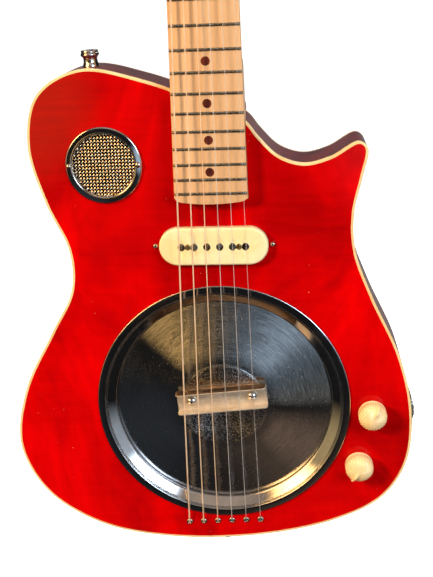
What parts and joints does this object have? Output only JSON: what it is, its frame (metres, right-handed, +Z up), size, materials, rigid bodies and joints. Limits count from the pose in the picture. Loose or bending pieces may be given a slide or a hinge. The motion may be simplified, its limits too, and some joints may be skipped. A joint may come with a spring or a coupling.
{
  "type": "resonator guitar",
  "caption": "Single-cutaway semi-hollow electric resonator guitar with an open spun-metal dish, channel bridge, oval pickup, bolt-on neck and open-gear tuners.",
  "frame": {"origin": "on the centreline at the nut, in the plane of the body face, where a wall hanger or stand yoke grips the neck", "axes": "+Z up the neck, +X to the treble side as seen from the front, the face looks along -Y"},
  "size_m": [0.3346, 0.0678, 0.9687],
  "materials": {
    "red_lacquer": "translucent red gloss lacquer over figured maple",
    "wine_lacquer": "dark wine gloss lacquer",
    "cream_binding": "cream plastic binding",
    "cream_plastic": "cream moulded plastic",
    "maple": "amber satin maple",
    "bone": "polished bone",
    "spun_metal": "polished spun metal with fine scratches",
    "chrome_plate": "chrome",
    "nickel": "nickel plate",
    "aluminium": "mill finish",
    "wire_mesh": "woven wire",
    "plain_steel": "bright drawn wire",
    "wound_bronze": "round-wound string",
    "black_plastic": "black plastic",
    "brass": "plain brass screws",
    "rosewood": "dark inlaid dots",
    "fret_wire": "nickel silver, polished crowns"
  },
  "bodies": {
    "instrument": {"back_binding": "cream_binding", "body_back": "wine_lacquer", "body_core": "wine_lacquer", "body_top": "red_lacquer", "bridge_biscuit": "maple", "bridge_channel": "aluminium", "bridge_screw_bass": "nickel", "bridge_screw_treble": "nickel", "control_cover": "black_plastic", "fingerboard": "maple", "jack_plate": "chrome_plate", "neck": "maple", "neck_plate": "chrome_plate", "nut": "bone", "output_jack": "nickel", "pickup_spring_bass": "nickel", "pickup_spring_treble": "nickel", "resonator_cone": "spun_metal", "resonator_rim": "chrome_plate", "soundport_ring": "chrome_plate", "soundport_screen": "wire_mesh", "strap_button_lower": "chrome_plate", "strap_button_upper": "chrome_plate", "string_1": "plain_steel", "string_2": "plain_steel", "string_3": "plain_steel", "string_4": "wound_bronze", "string_5": "wound_bronze", "string_6": "wound_bronze", "string_ferrule_1": "nickel", "string_ferrule_2": "nickel", "string_ferrule_3": "nickel", "string_ferrule_4": "nickel", "string_ferrule_5": "nickel", "string_ferrule_6": "nickel", "tone_pot": "nickel", "top_binding": "cream_binding", "truss_rod": "nickel", "truss_rod_cover": "black_plastic", "tuner_plate_bass": "nickel", "tuner_plate_treble": "nickel", "volume_pot": "nickel"},
    "pickup_assembly": {"pickup_cover": "cream_plastic", "pickup_bobbin": "black_plastic"},
    "pickup_screw_bass": {"pickup_screw_bass": "nickel"},
    "pickup_screw_treble": {"pickup_screw_treble": "nickel"},
    "volume_knob": {"volume_knob": "cream_plastic"},
    "tone_knob": {"tone_knob": "cream_plastic"},
    "tuner_key_1": {"tuner_key_1": "cream_plastic"},
    "tuner_post_1": {"tuner_post_1": "nickel"},
    "tuner_key_2": {"tuner_key_2": "cream_plastic"},
    "tuner_post_2": {"tuner_post_2": "nickel"},
    "tuner_key_3": {"tuner_key_3": "cream_plastic"},
    "tuner_post_3": {"tuner_post_3": "nickel"},
    "tuner_key_4": {"tuner_key_4": "cream_plastic"},
    "tuner_post_4": {"tuner_post_4": "nickel"},
    "tuner_key_5": {"tuner_key_5": "cream_plastic"},
    "tuner_post_5": {"tuner_post_5": "nickel"},
    "tuner_key_6": {"tuner_key_6": "cream_plastic"},
    "tuner_post_6": {"tuner_post_6": "nickel"}
  },
  "joints": [
    {"name": "pickup_height", "type": "slide", "parent": "instrument", "child": "pickup_assembly", "axis": [0, -1, 0], "range_m": [-0.0015, 0.0015], "deforming": ["pickup_spring_bass", "pickup_spring_treble"]},
    {"name": "pickup_screw_bass_turn", "type": "hinge", "parent": "instrument", "child": "pickup_screw_bass", "pos_m": [-0.0464, 0, -0.50935], "axis": [0, 1, 0], "range_deg": [-690, 690]},
    {"name": "pickup_screw_treble_turn", "type": "hinge", "parent": "instrument", "child": "pickup_screw_treble", "pos_m": [0.0464, 0, -0.50935], "axis": [0, 1, 0], "range_deg": [-690, 690]},
    {"name": "volume_turn", "type": "hinge", "parent": "instrument", "child": "volume_knob", "pos_m": [0.1254, 0, -0.65575], "axis": [0, 1, 0], "range_deg": [-175, 125]},
    {"name": "tone_turn", "type": "hinge", "parent": "instrument", "child": "tone_knob", "pos_m": [0.115, 0, -0.70325], "axis": [0, 1, 0], "range_deg": [-3, 297]},
    {"name": "tuner_key_1_turn", "type": "hinge", "parent": "instrument", "child": "tuner_key_1", "pos_m": [0.024, 0.02122, 0.03818], "axis": [1, 0, 0], "continuous": true},
    {"name": "tuner_post_1_turn", "type": "hinge", "parent": "instrument", "child": "tuner_post_1", "pos_m": [0.024, 0.00431, 0.04942], "axis": [0, 0.9848, -0.1736], "continuous": true},
    {"name": "tuner_key_2_turn", "type": "hinge", "parent": "instrument", "child": "tuner_key_2", "pos_m": [0.024, 0.02747, 0.07364], "axis": [1, 0, 0], "continuous": true},
    {"name": "tuner_post_2_turn", "type": "hinge", "parent": "instrument", "child": "tuner_post_2", "pos_m": [0.024, 0.01057, 0.08487], "axis": [0, 0.9848, -0.1736], "continuous": true},
    {"name": "tuner_key_3_turn", "type": "hinge", "parent": "instrument", "child": "tuner_key_3", "pos_m": [0.024, 0.03372, 0.10909], "axis": [1, 0, 0], "continuous": true},
    {"name": "tuner_post_3_turn", "type": "hinge", "parent": "instrument", "child": "tuner_post_3", "pos_m": [0.024, 0.01682, 0.12032], "axis": [0, 0.9848, -0.1736], "continuous": true},
    {"name": "tuner_key_4_turn", "type": "hinge", "parent": "instrument", "child": "tuner_key_4", "pos_m": [-0.024, 0.03372, 0.10909], "axis": [1, 0, 0], "continuous": true},
    {"name": "tuner_post_4_turn", "type": "hinge", "parent": "instrument", "child": "tuner_post_4", "pos_m": [-0.024, 0.01682, 0.12032], "axis": [0, 0.9848, -0.1736], "continuous": true},
    {"name": "tuner_key_5_turn", "type": "hinge", "parent": "instrument", "child": "tuner_key_5", "pos_m": [-0.024, 0.02747, 0.07364], "axis": [1, 0, 0], "continuous": true},
    {"name": "tuner_post_5_turn", "type": "hinge", "parent": "instrument", "child": "tuner_post_5", "pos_m": [-0.024, 0.01057, 0.08487], "axis": [0, 0.9848, -0.1736], "continuous": true},
    {"name": "tuner_key_6_turn", "type": "hinge", "parent": "instrument", "child": "tuner_key_6", "pos_m": [-0.024, 0.02122, 0.03818], "axis": [1, 0, 0], "continuous": true},
    {"name": "tuner_post_6_turn", "type": "hinge", "parent": "instrument", "child": "tuner_post_6", "pos_m": [-0.024, 0.00431, 0.04942], "axis": [0, 0.9848, -0.1736], "continuous": true}
  ],
  "couplings": [
    {"joint": "pickup_screw_bass_turn", "follows": "pickup_height", "rad_per_m": 7854},
    {"joint": "pickup_screw_treble_turn", "follows": "pickup_height", "rad_per_m": 7854},
    {"joint": "tuner_post_1_turn", "follows": "tuner_key_1_turn", "ratio": 0.066667},
    {"joint": "tuner_post_2_turn", "follows": "tuner_key_2_turn", "ratio": 0.066667},
    {"joint": "tuner_post_3_turn", "follows": "tuner_key_3_turn", "ratio": 0.066667},
    {"joint": "tuner_post_4_turn", "follows": "tuner_key_4_turn", "ratio": 0.066667},
    {"joint": "tuner_post_5_turn", "follows": "tuner_key_5_turn", "ratio": 0.066667},
    {"joint": "tuner_post_6_turn", "follows": "tuner_key_6_turn", "ratio": 0.066667}
  ]
}
